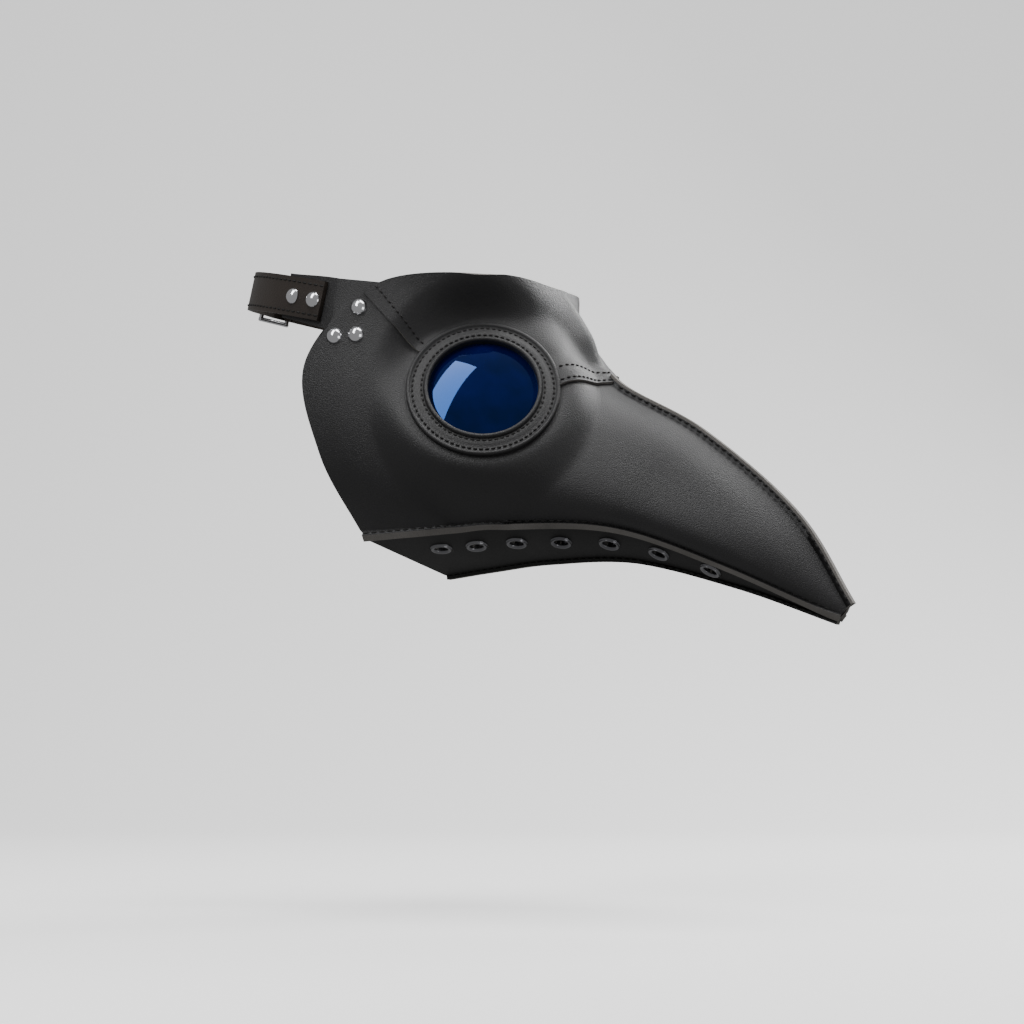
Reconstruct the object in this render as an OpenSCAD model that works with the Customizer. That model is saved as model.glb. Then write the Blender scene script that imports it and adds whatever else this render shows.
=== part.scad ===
// Plague doctor mask: sewn leather shell with a long hooked beak, round
// glass eyes, seven vents a side and a buckled strap round the head.
// +X runs forward along the beak, +Y to the wearer's left, +Z up.
// The origin is the middle of the face opening, where the head sits.

/* [Shell] */
// Width of the face opening across the cheeks (mm)
mask_width = 160; // [130:1:200]
// Height from beak tip to forehead edge (mm)
mask_height = 172; // [145:1:210]
// How far the beak tip stands ahead of the bridge (mm)
beak_reach = 122; // [95:1:160]
// How far the cheeks reach back from the bridge (mm)
face_depth = 134; // [110:1:165]
// Thickness of the shell leather (mm)
leather = 2; // [1.4:0.1:2.6]
// How far the raw seam edges stand out from the ridge (mm)
seam_stand = 4.5; // [3:0.1:6]

/* [Eyes] */
// Diameter of the lens that shows (mm)
lens_diameter = 54; // [42:1:60]
// Width of the leather ring round the lens (mm)
eye_ring_width = 11; // [9:0.5:14]
// Height of the lens dome (mm)
lens_dome = 5; // [3:0.5:8]

/* [Vents and rivets] */
// Outside diameter of an eyelet flange (mm)
eyelet_diameter = 11; // [9:0.5:13]
// Clear hole through an eyelet (mm)
eyelet_bore = 6.5; // [5:0.1:7]
// Diameter of a dome rivet cap (mm)
rivet_cap = 8.5; // [7:0.1:10]

/* [Strap] */
// Width of the head strap (mm)
strap_width = 20; // [16:0.5:24]
// Thickness of the head strap (mm)
strap_thickness = 2.6; // [2:0.1:3.2]
// Room for the head behind the cheeks (mm)
head_room = 92; // [75:1:115]

/* [Hidden] */

// The guide lines are drawn for this reference size and scaled from it
ref_half_width = 80;
ref_height = 172;
ref_reach = 122;
ref_depth = 134;
// The bridge of the nose stands this far ahead of and above the mount
bridge_ahead = 110;
bridge_above = 25;

// Guide lines from the face opening to the beak tip, each [along, out, up]
ridge_line = [[-32, 0, 46], [-17, 0, 23], [-3, 0, -4], [44, 0, -32], [92, 0, -74], [119.5, 0, -118]];
brow_line = [[-48, 45, 50], [-42, 35, 24], [-14, 20, -8], [36, 14, -40], [84, 10, -81], [118.8, 0.6, -119]];
eye_line = [[-98, 68, 46], [-72, 59, 14], [-27, 37, -18], [28, 24, -52], [77, 16, -86], [118.2, 0.8, -119.8]];
cheek_line = [[-134, 80, 8], [-94, 73, -13], [-40, 51, -38], [20, 32, -64],
  [70, 19, -90.5], [117.6, 0.9, -120.4]];
jaw_line = [[-127, 78, -38], [-96, 72, -49], [-44, 52, -57], [15, 33, -71],
  [65.5, 18, -93.3], [117.2, 0.9, -120.9]];
throat_line = [[-110, 64, -79], [-82, 57, -77], [-40, 41, -74],
  [11, 27, -76.5], [62, 15, -95], [116.8, 0.7, -121.4]];
keel_line = [[-98, 0, -95], [-72, 0, -92], [-38, 0, -89], [10, 0, -90], [66, 0, -104.5], [116, 0, -122.5]];
side_lines = [ridge_line, brow_line, eye_line, cheek_line, jaw_line, throat_line];

// Rows along the mask and columns round it
rows = 32;
columns = 20;
throat_columns = 5;
// The forehead panel ends at these grid lines
forehead_row = 12;
forehead_column = 8;

function scaled(p) = [
  p[0] * (p[0] > 0 ? beak_reach / ref_reach : face_depth / ref_depth) + bridge_ahead,
  -p[1] * mask_width / 2 / ref_half_width,
  p[2] * mask_height / ref_height + bridge_above];
function spline(a, b, c, d, f) =
  ((2 * b) + (c - a) * f + (2 * a - 5 * b + 4 * c - d) * f * f
  + (3 * b - a - 3 * c + d) * f * f * f) / 2;
function along(line, t) =
  let (n = len(line) - 1, k = min(floor(t * n), n - 1), f = t * n - k)
  spline(k > 0 ? line[k - 1] : 2 * line[0] - line[1], line[k], line[k + 1],
    k < n - 1 ? line[k + 2] : 2 * line[n] - line[n - 1], f);
function unit(v) = v / norm(v);

// Eye axis and centre
eye_turn = 28;
eye_tilt = 24;
eye_axis = [sin(eye_turn) * cos(eye_tilt), -cos(eye_turn) * cos(eye_tilt), sin(eye_tilt)];
eye_centre = scaled([-49, 52, -10]);
ring_radius = lens_diameter / 2 + eye_ring_width;
// The leather lies flat under the ring and blends away over this width
flat_radius = ring_radius + 2;
blend_width = 18;

function ease(x) = let (c = max(0, min(1, x))) c * c * (3 - 2 * c);
function seated(p) =
  let (d = (p - eye_centre) * eye_axis, r = norm(p - eye_centre - d * eye_axis),
    w = 1 - ease((r - flat_radius) / blend_width))
  p - eye_axis * d * w;
function side_at(t, f) = seated(scaled(along([for (g = side_lines) along(g, t)], f)));
// The throat bows out a little between its seam and the keel
throat_bow = 1;
function throat_at(t, f) =
  let (a = scaled(along(throat_line, t)), b = scaled(along(keel_line, t)), s = side_at(t, 1))
  s * (1 - f) + b * f + [0, 0, -throat_bow * 4 * f * (1 - f) * sin(180 * t)];

probe = 0.004;
function side_normal(t, f) =
  let (t0 = max(0, t - probe), t1 = min(1, t + probe), f0 = max(0, f - probe), f1 = min(1, f + probe))
  unit(cross(side_at(t, f1) - side_at(t, f0), side_at(t1, f) - side_at(t0, f)));
function throat_normal(t, f) =
  let (t0 = max(0, t - probe), t1 = min(1, t + probe), f0 = max(0, f - probe), f1 = min(1, f + probe))
  unit(cross(throat_at(t, f1) - throat_at(t, f0), throat_at(t1, f) - throat_at(t0, f)));
function inside(i, j, cells) = i >= 0 && j >= 0 && i < len(cells) && j < len(cells[0]) && cells[i][j];

// A sheet of leather over the marked cells of a grid of points
module sheet(under, over, cells) {
  n = len(under[0]);
  m = len(under) * n;
  points = concat([for (row = under) each row], [for (row = over) each row]);
  faces = [for (i = [0 : len(cells) - 1], j = [0 : len(cells[0]) - 1]) if (cells[i][j])
    let (a = i * n + j, b = a + 1, c = a + n + 1, d = a + n)
    each concat(
      [[a, b, c], [a, c, d], [m + a, m + c, m + b], [m + a, m + d, m + c]],
      inside(i - 1, j, cells) ? [] : [[a, m + a, m + b], [a, m + b, b]],
      inside(i + 1, j, cells) ? [] : [[c, m + c, m + d], [c, m + d, d]],
      inside(i, j - 1, cells) ? [] : [[d, m + d, m + a], [d, m + a, a]],
      inside(i, j + 1, cells) ? [] : [[b, m + b, m + c], [b, m + c, c]])];
  polyhedron(points, faces, convexity = 8);
}

side_skin = [for (i = [0 : rows]) [for (j = [0 : columns]) side_at(i / rows, j / columns)]];
side_up = [for (i = [0 : rows]) [for (j = [0 : columns]) side_normal(i / rows, j / columns)]];
throat_skin = [for (i = [0 : rows]) [for (j = [0 : throat_columns])
  throat_at(i / rows, j / throat_columns)]];
throat_up = [for (i = [0 : rows]) [for (j = [0 : throat_columns])
  throat_normal(i / rows, j / throat_columns)]];

// Raw edges turned outwards: both throat seams, the ridge and the keel
lip_width = 3.2;
right = [0, -1, 0];
function mitre(u, v) = (u + v) / max(0.5, 1 + u * v);
function lip_out(i) = unit(side_up[i][columns] + throat_up[i][0]);
function lip_up(i) = unit(side_up[i][columns] - throat_up[i][0]);
function stand_out(skin, i, sign) =
  let (n = len(skin) - 1, d = unit(skin[min(n, i + 1)] - skin[max(0, i - 1)]))
  sign * unit([-d[2], 0, d[0]]);
ridge_skin = [for (i = [0 : rows]) side_skin[i][0]];
keel_skin = [for (i = [0 : rows]) throat_skin[i][throat_columns]];

// The tongue is cut in one with the panel and runs back under the strap
tongue_first = 8;
tongue_last = 11;
tongue_angles = [for (a = [26 : -1 : 4]) a];
tongue_half = 13;
anchor = side_at(0, (tongue_first + tongue_last) / 2 / columns);
strap_pitch = 14;
strap_half = abs(anchor[1]);
function loop_at(a, out) = [-(head_room + out) * sin(a), -(strap_half + out) * cos(a)];
function tipped(p) = [anchor[0] + p[0] * cos(strap_pitch) + p[2] * sin(strap_pitch), p[1],
  anchor[2] - p[0] * sin(strap_pitch) + p[2] * cos(strap_pitch)];
function tongue_z(j) = tongue_half * (1 - 2 * (j - tongue_first) / (tongue_last - tongue_first));
function tongue_row(a, out) = [for (j = [-1 : columns + 1])
  let (p = loop_at(a, out)) tipped([p[0], p[1], tongue_z(j)])];

side_under = concat([for (a = tongue_angles) tongue_row(a, 0)],
  [for (i = [0 : rows]) concat([ridge_skin[i] + seam_stand * stand_out(ridge_skin, i, 1)],
    side_skin[i], [side_skin[i][columns] + lip_width * lip_out(i)])]);
side_over = concat([for (a = tongue_angles) tongue_row(a, leather)],
  [for (i = [0 : rows]) concat(
    [ridge_skin[i] + seam_stand * stand_out(ridge_skin, i, 1) + leather * right,
     i > forehead_row ? side_skin[i][0] + leather * mitre(side_up[i][0], right)
       : side_skin[i][0] + leather * side_up[i][0]],
    [for (j = [1 : columns - 1]) side_skin[i][j] + leather * side_up[i][j]],
    [side_skin[i][columns] + leather * mitre(side_up[i][columns], lip_up(i)),
     side_skin[i][columns] + lip_width * lip_out(i) + leather * lip_up(i)])]);
side_cells = concat(
  [for (a = tongue_angles) [for (j = [-1 : columns]) j >= tongue_first && j < tongue_last]],
  [for (i = [0 : rows - 1]) [for (j = [-1 : columns])
    j >= forehead_column || i >= forehead_row]]);
throat_under = [for (i = [0 : rows]) concat([throat_skin[i][0] + lip_width * lip_out(i)],
  throat_skin[i], [keel_skin[i] + (seam_stand - 1) * stand_out(keel_skin, i, -1)])];
throat_over = [for (i = [0 : rows]) concat(
  [throat_skin[i][0] + lip_width * lip_out(i) - leather * lip_up(i),
   throat_skin[i][0] + leather * mitre(throat_up[i][0], -lip_up(i))],
  [for (j = [1 : throat_columns - 1]) throat_skin[i][j] + leather * throat_up[i][j]],
  [keel_skin[i] + leather * mitre(throat_up[i][throat_columns], right),
   keel_skin[i] + (seam_stand - 1) * stand_out(keel_skin, i, -1) + leather * right])];
throat_cells = [for (i = [0 : rows - 1]) [for (j = [-1 : throat_columns]) true]];
brow_over = [for (i = [0 : rows]) [for (j = [0 : columns])
  side_skin[i][j] + leather * side_up[i][j]]];
function flipped(p) = [p[0], -p[1], p[2]];
function level(p) = [p[0], 0, p[2]];
function brow_row(grid, i) = concat(
  [for (j = [forehead_column : -1 : 1]) flipped(grid[i][j])],
  [level(grid[i][0])], [for (j = [1 : forehead_column]) grid[i][j]]);

// Points down something round, from a base with a direction
module aimed(centre, axis) {
  translate(centre)
    rotate([0, acos(axis[2]), atan2(axis[1], axis[0])])
      children();
}

module eye_hole(radius) {
  aimed(eye_centre, eye_axis)
    translate([0, 0, -cut_depth])
      cylinder(h = 2 * cut_depth, r = radius, $fn = 96);
}

cut_depth = 12;
eye_clear = lens_diameter / 2 + 3;

// Places on the shell that carry rivets, each [row share, column share]
temple_spots = [[0.022, 0.462], [0.03, 0.53], [0.068, 0.503]];
rivet_shank = 3.2;
module at_side(spot) {
  aimed(side_at(spot[0], spot[1]), side_normal(spot[0], spot[1]))
    children();
}

eyelet_count = 7;
function eyelet_spot(k) = [0.184 + k * 0.0965, 0.36 + 0.022 * k];
module at_throat(spot) {
  aimed(throat_at(spot[0], spot[1]), throat_normal(spot[0], spot[1]))
    children();
}

module temple_holes() {
  for (spot = temple_spots)
    at_side(spot)
      translate([0, 0, -cut_depth])
        cylinder(h = 2 * cut_depth, d = rivet_shank, $fn = 24);
}

// The punched strap climbs over the buckled one at the back of the head
function back(mm) = 90 + mm / (strap_half * PI / 180);
bar_place = 13;
frame_length = 17;
climb_from = back(bar_place - frame_length + 1.5);
climb_to = back(bar_place - 5);
layer_gap = 1.1;
function climb(a) = (strap_thickness + layer_gap) * ease((a - climb_from) / (climb_to - climb_from));
module band(from, to, climbs) {
  angles = [for (a = [from : 1 : to]) a];
  outs = [for (a = angles) leather + (climbs ? climb(a) : 0)];
  last = len(angles) - 1;
  translate([0, 0, -strap_width / 2])
    linear_extrude(strap_width)
      polygon(concat([for (k = [0 : last]) loop_at(angles[k], outs[k])],
        [for (k = [last : -1 : 0]) loop_at(angles[k], outs[k] + strap_thickness)]));
}
module in_strap() {
  translate([anchor[0], 0, anchor[2]])
    rotate([0, strap_pitch, 0])
      children();
}

strap_start = 8;
strap_rivet_angles = [11.5, 20.5];
module at_strap(a) {
  p = loop_at(a, 0);
  in_strap()
    translate([p[0], p[1], 0])
      rotate([0, 0, -a])
        rotate([90, 0, 0])
          children();
}
module strap_rivet_holes() {
  for (a = strap_rivet_angles)
    at_strap(a)
      translate([0, 0, -cut_depth])
        cylinder(h = 2 * cut_depth, d = rivet_shank, $fn = 24);
}

module side_right() {
  difference() {
    sheet(side_under, side_over, side_cells);
    eye_hole(eye_clear);
    temple_holes();
    strap_rivet_holes();
  }
}
module throat_right() {
  difference() {
    sheet(throat_under, throat_over, throat_cells);
    for (k = [0 : eyelet_count - 1])
      at_throat(eyelet_spot(k))
        translate([0, 0, -cut_depth / 2])
          cylinder(h = cut_depth, r = eyelet_bore / 2 + eyelet_wall, $fn = 32);
  }
}
module forehead_panel() {
  color("#26211f")
    difference() {
      sheet([for (i = [0 : forehead_row]) brow_row(side_skin, i)],
        [for (i = [0 : forehead_row]) brow_row(brow_over, i)],
        [for (i = [0 : forehead_row - 1]) [for (j = [0 : 2 * forehead_column - 1]) true]]);
      eye_hole(eye_clear);
      mirror([0, 1, 0])
        eye_hole(eye_clear);
    }
}
module side_panel_right() { color("#26211f") side_right(); }
module side_panel_left() { color("#26211f") mirror([0, 1, 0]) side_right(); }
module throat_panel_right() { color("#1a1716") throat_right(); }
module throat_panel_left() { color("#1a1716") mirror([0, 1, 0]) throat_right(); }

// Leather ring that lies on the panels and laps the lens
lens_radius = lens_diameter / 2;
module ring_right() {
  aimed(eye_centre, eye_axis)
    rotate_extrude($fn = 96)
      polygon([[lens_radius, leather], [ring_radius, leather], [ring_radius, leather + 1.8],
        [ring_radius - 1.2, leather + 2.4], [ring_radius - 2.6, leather + 2],
        [lens_radius + 3, leather + 3.4], [lens_radius + 1.2, leather + 4.2],
        [lens_radius, leather + 3.8]]);
}
module eye_ring_right() { color("#231f1d") ring_right(); }
module eye_ring_left() { color("#231f1d") mirror([0, 1, 0]) ring_right(); }

// Domed lens with a flat rim held between ring and frame
lens_rim = 2.6;
dome_base = lens_radius - 0.6;
dome_radius = (dome_base * dome_base + lens_dome * lens_dome) / (2 * lens_dome);
module lens_solid() {
  aimed(eye_centre, eye_axis) {
    cylinder(h = leather, r = lens_radius + lens_rim, $fn = 96);
    intersection() {
      translate([0, 0, leather + lens_dome - dome_radius])
        sphere(r = dome_radius, $fn = 128);
      translate([0, 0, leather - 0.5])
        cylinder(h = lens_dome + 2, r = dome_base, $fn = 96);
    }
  }
}
module lens_right() { color("#0a1230") lens_solid(); }
module lens_left() { color("#0a1230") mirror([0, 1, 0]) lens_solid(); }

frame_thickness = 1.6;
module lens_frame() {
  aimed(eye_centre, eye_axis)
    translate([0, 0, -frame_thickness])
      difference() {
        cylinder(h = frame_thickness, r = eye_clear + 5, $fn = 96);
        translate([0, 0, -1])
          cylinder(h = frame_thickness + 2, r = lens_radius - 1, $fn = 96);
      }
}
module lens_frame_right() { color("#151515") lens_frame(); }
module lens_frame_left() { color("#151515") mirror([0, 1, 0]) lens_frame(); }

// Eyelets: a rounded flange outside and a barrel through the leather
eyelet_wall = 0.7;
eyelet_rise = 1.3;
module eyelets() {
  for (k = [0 : eyelet_count - 1])
    at_throat(eyelet_spot(k))
      rotate_extrude($fn = 40)
        polygon([[eyelet_bore / 2, -1], [eyelet_bore / 2 + eyelet_wall, -1],
          [eyelet_bore / 2 + eyelet_wall, leather], [eyelet_diameter / 2, leather],
          [eyelet_diameter / 2 - 0.5, leather + 0.8],
          [eyelet_bore / 2 + 1.4, leather + eyelet_rise], [eyelet_bore / 2, leather + 0.9]]);
}
module vent_eyelets_right() { color("#55565a") eyelets(); }
module vent_eyelets_left() { color("#55565a") mirror([0, 1, 0]) eyelets(); }

washer_thickness = 0.8;
washer_seat = 0.15;
module washers() {
  for (k = [0 : eyelet_count - 1])
    at_throat(eyelet_spot(k))
      translate([0, 0, -washer_thickness - washer_seat])
        difference() {
          cylinder(h = washer_thickness, d = eyelet_diameter - 1, $fn = 40);
          translate([0, 0, -1])
            cylinder(h = washer_thickness + 2, r = eyelet_bore / 2 + eyelet_wall, $fn = 32);
        }
}
module vent_washers_right() { color("#55565a") washers(); }
module vent_washers_left() { color("#55565a") mirror([0, 1, 0]) washers(); }

// Dome rivet: cap on the outside, shank, and a flat head inside
module rivet(bottom, top) {
  cap_rise = rivet_cap * 0.34;
  ball = (rivet_cap * rivet_cap / 4 + cap_rise * cap_rise) / (2 * cap_rise);
  intersection() {
    translate([0, 0, top + cap_rise - ball])
      sphere(r = ball, $fn = 48);
    translate([0, 0, top])
      cylinder(h = cap_rise + 1, d = rivet_cap, $fn = 48);
  }
  translate([0, 0, bottom])
    cylinder(h = top - bottom + 0.5, d = rivet_shank, $fn = 24);
  translate([0, 0, bottom - 0.8])
    cylinder(h = 0.8, d = rivet_cap - 1.5, $fn = 32);
}
module temple_rivets() {
  for (spot = temple_spots)
    at_side(spot)
      rivet(-leather, leather);
}
module temple_rivets_right() { color("silver") temple_rivets(); }
module temple_rivets_left() { color("silver") mirror([0, 1, 0]) temple_rivets(); }

// Doubling of leather behind the three rivets
backing_rows = 4;
backing_first = 8;
backing_last = 11;
module backing() {
  under = [for (i = [0 : backing_rows]) [for (j = [backing_first : backing_last + 1])
    side_skin[i][j] - leather * side_up[i][j]]];
  over = [for (i = [0 : backing_rows]) [for (j = [backing_first : backing_last + 1]) side_skin[i][j]]];
  difference() {
    sheet(under, over, [for (i = [1 : backing_rows]) [for (j = [backing_first : backing_last]) true]]);
    temple_holes();
  }
}
module temple_backing_right() { color("#2e2824") backing(); }
module temple_backing_left() { color("#2e2824") mirror([0, 1, 0]) backing(); }

module strap_rivets() {
  for (a = strap_rivet_angles)
    at_strap(a)
      rivet(0, leather + strap_thickness);
}
module strap_rivets_right() { color("silver") strap_rivets(); }
module strap_rivets_left() { color("silver") mirror([0, 1, 0]) strap_rivets(); }

// The strap from the wearer's right is punched and passes through the buckle
strap_tip = back(66);
buckle_at = back(bar_place);
hole_places = [bar_place - 3.5, bar_place + 14, bar_place + 26];
slot_length = 8;
slot_width = 4.6;
module strap_right() {
  color("#241d1a")
    difference() {
      in_strap()
        band(strap_start, strap_tip, true);
      strap_rivet_holes();
      for (mm = hole_places)
        at_strap(back(mm)) {
          for (x = [-slot_length, slot_length] / 2)
            translate([x, 0, 0])
              cylinder(h = cut_depth, d = slot_width, $fn = 24);
          translate([-slot_length / 2, -slot_width / 2, 0])
            cube([slot_length, slot_width, cut_depth]);
        }
    }
}
rod = 1.2;
bar_level = leather + strap_thickness / 2;
fold_wall = 1;
fold_gap = 8;
module bar_tube(length, radius) {
  translate([0, length / 2, bar_level])
    rotate([90, 0, 0])
      cylinder(h = length, r = radius, $fn = 32);
}
module strap_left() {
  color("#241d1a")
    difference() {
      union() {
        mirror([0, 1, 0])
          in_strap()
            band(strap_start, 180 - buckle_at - 1, false);
        at_buckle()
          bar_tube(strap_width, rod + fold_wall);
      }
      mirror([0, 1, 0])
        strap_rivet_holes();
      at_buckle() {
        bar_tube(strap_width + 2, rod + 0.08);
        translate([-fold_gap / 2, -fold_gap / 4, bar_level - 4])
          cube([fold_gap, fold_gap / 2, 8]);
      }
    }
}

// Everything on the buckle is placed from the hinge bar: x along the strap
// towards the wearer's right, y up the bar, z away from the head
frame_inside = strap_width + 2;
end_level = leather + strap_thickness + rod + 0.4;
module at_buckle() {
  at_strap(buckle_at)
    rotate([0, 0, 180])
      children();
}
module stick(a, b, radius) {
  d = b - a;
  translate(a)
    rotate([0, acos(d[2] / norm(d)), atan2(d[1], d[0])])
      cylinder(h = norm(d), r = radius, $fn = 24);
}
module buckle_frame() {
  side = frame_inside / 2 + rod;
  color("silver")
    at_buckle() {
      stick([0, -side - 0.5, bar_level], [0, side + 0.5, bar_level], rod);
      stick([-frame_length, -side - 0.5, end_level], [-frame_length, side + 0.5, end_level], rod);
      for (y = [-side, side])
        stick([0.8 * rod, y, bar_level], [-frame_length - 0.8 * rod, y, end_level], rod);
    }
}
prong_radius = 1;
prong_top = end_level + rod + prong_radius + 0.1;
prong_reach = frame_length + 2;
module buckle_prong() {
  color("silver")
    at_buckle() {
      difference() {
        bar_tube(3.2, rod + 1.2);
        bar_tube(6, rod + 0.08);
      }
      stick([-rod - 1, 0, bar_level + 1], [-5, 0, prong_top], prong_radius);
      stick([-4.6, 0, prong_top], [-prong_reach, 0, prong_top], prong_radius);
    }
}

// Leather loop round both straps that holds the loose end down
keeper_at = back(50);
keeper_width = 8;
keeper_thickness = 1.8;
keeper_room = 1.2;
module strap_keeper() {
  stack = 2 * strap_thickness + layer_gap;
  outer = [keeper_width, strap_width + 2 * (keeper_room + keeper_thickness),
    stack + 2 * (keeper_room + keeper_thickness)];
  inner = [keeper_width + 2, strap_width + 2 * keeper_room, stack + 2 * keeper_room];
  color("#241d1a")
    at_strap(keeper_at)
      translate([0, 0, leather + stack / 2])
        difference() {
          cube(outer, center = true);
          cube(inner, center = true);
        }
}

side_panel_right();
side_panel_left();
forehead_panel();
throat_panel_right();
throat_panel_left();
eye_ring_right();
eye_ring_left();
lens_right();
lens_left();
lens_frame_right();
lens_frame_left();
vent_eyelets_right();
vent_eyelets_left();
vent_washers_right();
vent_washers_left();
temple_rivets_right();
temple_rivets_left();
temple_backing_right();
temple_backing_left();
strap_right();
strap_left();
strap_rivets_right();
strap_rivets_left();
buckle_frame();
buckle_prong();
strap_keeper();
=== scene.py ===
# %% [markdown]
# A plague doctor mask of black leather: two side panels, a forehead panel, two throat
# panels under the beak, round eye pieces and a buckled head strap.

import math

import bmesh
import bpy
import numpy as np
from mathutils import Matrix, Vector


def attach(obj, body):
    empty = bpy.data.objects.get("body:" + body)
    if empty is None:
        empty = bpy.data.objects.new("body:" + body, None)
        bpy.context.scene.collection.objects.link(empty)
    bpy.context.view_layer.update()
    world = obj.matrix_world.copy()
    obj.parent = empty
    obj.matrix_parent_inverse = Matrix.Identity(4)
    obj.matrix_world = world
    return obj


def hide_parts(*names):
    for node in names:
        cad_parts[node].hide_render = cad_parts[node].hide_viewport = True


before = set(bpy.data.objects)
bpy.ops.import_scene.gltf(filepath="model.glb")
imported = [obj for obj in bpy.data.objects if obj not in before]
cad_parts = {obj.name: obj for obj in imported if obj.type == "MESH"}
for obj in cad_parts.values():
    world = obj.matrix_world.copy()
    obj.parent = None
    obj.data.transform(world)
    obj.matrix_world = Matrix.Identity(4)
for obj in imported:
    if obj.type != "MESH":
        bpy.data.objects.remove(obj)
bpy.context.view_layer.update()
MM = 0.001
print("pieces in the frame:", len(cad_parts))

# %% [markdown]
# The mask is sewn from flat leather, so its shape is ruled by a few long lines that run
# from the face opening to the beak tip. Here they are again in the sizes of the solid
# model, in millimetres from the bridge of the nose: along, out, up.

# %% Guide lines
BRIDGE = np.array([110.0, 0.0, 25.0])
RIDGE = [[-32, 0, 46], [-17, 0, 23], [-3, 0, -4], [44, 0, -32], [92, 0, -74], [119.5, 0, -118]]
BROW = [[-48, 45, 50], [-42, 35, 24], [-14, 20, -8], [36, 14, -40], [84, 10, -81], [118.8, 0.6, -119]]
EYE = [[-98, 68, 46], [-72, 59, 14], [-27, 37, -18], [28, 24, -52], [77, 16, -86], [118.2, 0.8, -119.8]]
CHEEK = [[-134, 80, 8], [-94, 73, -13], [-40, 51, -38], [20, 32, -64], [70, 19, -90.5], [117.6, 0.9, -120.4]]
JAW = [[-127, 78, -38], [-96, 72, -49], [-44, 52, -57], [15, 33, -71],
       [65.5, 18, -93.3], [117.2, 0.9, -120.9]]
THROAT = [[-110, 64, -79], [-82, 57, -77], [-40, 41, -74], [11, 27, -76.5],
          [62, 15, -95], [116.8, 0.7, -121.4]]
KEEL = [[-98, 0, -95], [-72, 0, -92], [-38, 0, -89], [10, 0, -90], [66, 0, -104.5], [116, 0, -122.5]]
SIDE_LINES = [RIDGE, BROW, EYE, CHEEK, JAW, THROAT]


def along(line, t):
    """A smooth line through the given points, at share t of its length."""
    line = np.asarray(line, float)
    last = len(line) - 1
    k = min(int(t * last), last - 1)
    f = t * last - k
    a = line[k - 1] if k > 0 else 2 * line[0] - line[1]
    b, c = line[k], line[k + 1]
    d = line[k + 2] if k < last - 1 else 2 * line[last] - line[last - 1]
    return (2 * b + (c - a) * f + (2 * a - 5 * b + 4 * c - d) * f**2 + (3 * b - a - 3 * c + d) * f**3) / 2


def place(p):
    """From guide line sizes to the frame, on the wearer's right."""
    return np.array([p[0], -p[1], p[2]]) + BRIDGE


def unit(v):
    return v / np.linalg.norm(v)


print("guide lines:", len(SIDE_LINES) + 1)

# %% [markdown]
# The leather lies flat under each eye ring. Inside the ring every point is pressed on to
# the eye's plane, and the push fades away outside it.

# %% Surfaces of the shell
LEATHER = 2.0
LENS_RADIUS = 27.0
RING_RADIUS = 38.0
EYE_TURN, EYE_TILT = math.radians(28), math.radians(24)
EYE_AXIS = np.array([math.sin(EYE_TURN) * math.cos(EYE_TILT), -math.cos(EYE_TURN) * math.cos(EYE_TILT),
                     math.sin(EYE_TILT)])
EYE_CENTRE = place([-49, 52, -10])
FLAT_RADIUS = RING_RADIUS + 2
BLEND_WIDTH = 18
THROAT_BOW = 1.0
PROBE = 0.004


def ease(x):
    x = min(1.0, max(0.0, x))
    return x * x * (3 - 2 * x)


def eye_distance(p):
    d = (p - EYE_CENTRE) @ EYE_AXIS
    return d, np.linalg.norm(p - EYE_CENTRE - d * EYE_AXIS)


def side_at(t, f):
    p = place(along([along(g, t) for g in SIDE_LINES], f))
    d, r = eye_distance(p)
    return p - EYE_AXIS * d * (1 - ease((r - FLAT_RADIUS) / BLEND_WIDTH))


def throat_at(t, f):
    bow = THROAT_BOW * 4 * f * (1 - f) * math.sin(math.pi * t)
    return side_at(t, 1) * (1 - f) + place(along(KEEL, t)) * f - np.array([0, 0, bow])


def normal_of(surface, t, f):
    t0, t1, f0, f1 = max(0, t - PROBE), min(1, t + PROBE), max(0, f - PROBE), min(1, f + PROBE)
    return unit(np.cross(surface(t, f1) - surface(t, f0), surface(t1, f) - surface(t0, f)))


print("eye centre (mm):", EYE_CENTRE.round(1))

# %% [markdown]
# A sheet of leather is two grids of points, the flesh side and the grain side, with a rim
# where the cut edge shows. The rim gets its own material, because cut leather is paler.

# %% Sheets
RIGHT = np.array([0.0, -1.0, 0.0])


def link(mesh, name):
    obj = bpy.data.objects.new(name, mesh)
    bpy.context.scene.collection.objects.link(obj)
    return obj


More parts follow.
